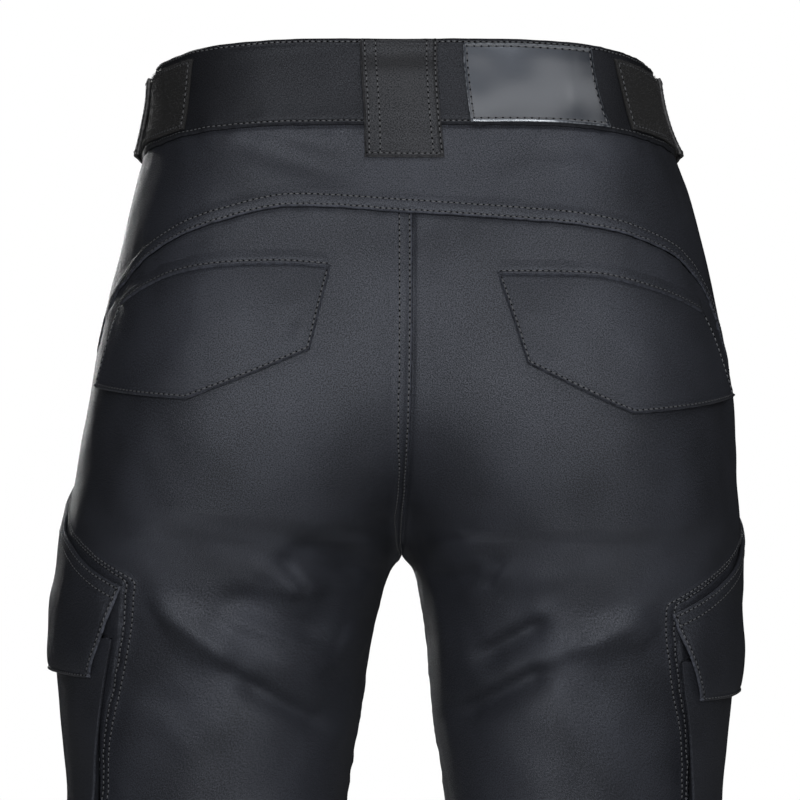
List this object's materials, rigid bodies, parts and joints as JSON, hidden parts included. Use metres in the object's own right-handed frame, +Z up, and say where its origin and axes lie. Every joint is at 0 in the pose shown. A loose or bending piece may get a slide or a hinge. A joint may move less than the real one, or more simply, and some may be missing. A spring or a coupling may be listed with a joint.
{
  "type": "motorcycle trousers",
  "caption": "Straight riding trousers with a back yoke, flapped hip pockets, bellows thigh pockets and a belt-looped waistband, in hollow worn form.",
  "frame": {"origin": "centre of the waist opening, level with the top of the waistband at the sides", "axes": "+Z up along the body, +X to the wearer's right, +Y out of the front, so the back faces -Y"},
  "size_m": [0.416, 0.2757, 1.0839],
  "materials": {
    "shell_cloth": "fine speckled stretch weave with a soft sheen",
    "band_cloth": "matt plain weave",
    "patch_leather": "smooth glossy grain",
    "loop_tape": "brushed loop pile",
    "hook_strap": "ribbed webbing",
    "snap_metal": "black lacquer"
  },
  "bodies": {
    "root": {"back_leg_left": "shell_cloth", "back_leg_right": "shell_cloth", "front_leg_left": "shell_cloth", "front_leg_right": "shell_cloth", "side_panel_left": "shell_cloth", "side_panel_right": "shell_cloth", "yoke": "shell_cloth", "pocket_flap_left": "shell_cloth", "pocket_flap_right": "shell_cloth", "cargo_flap_left": "shell_cloth", "cargo_flap_right": "shell_cloth", "cargo_pouch_left": "shell_cloth", "cargo_pouch_right": "shell_cloth", "fly_facing": "shell_cloth", "waistband_back": "band_cloth", "waistband_front_left": "band_cloth", "waistband_front_right": "band_cloth", "belt_loop_back": "band_cloth", "belt_loop_front_left": "band_cloth", "belt_loop_front_right": "band_cloth", "waist_tab": "band_cloth", "patch": "patch_leather", "loop_tape_left": "loop_tape", "loop_tape_right": "loop_tape", "adjuster_tab_left": "hook_strap", "adjuster_tab_right": "hook_strap", "waist_snap": "snap_metal"}
  },
  "joints": []
}
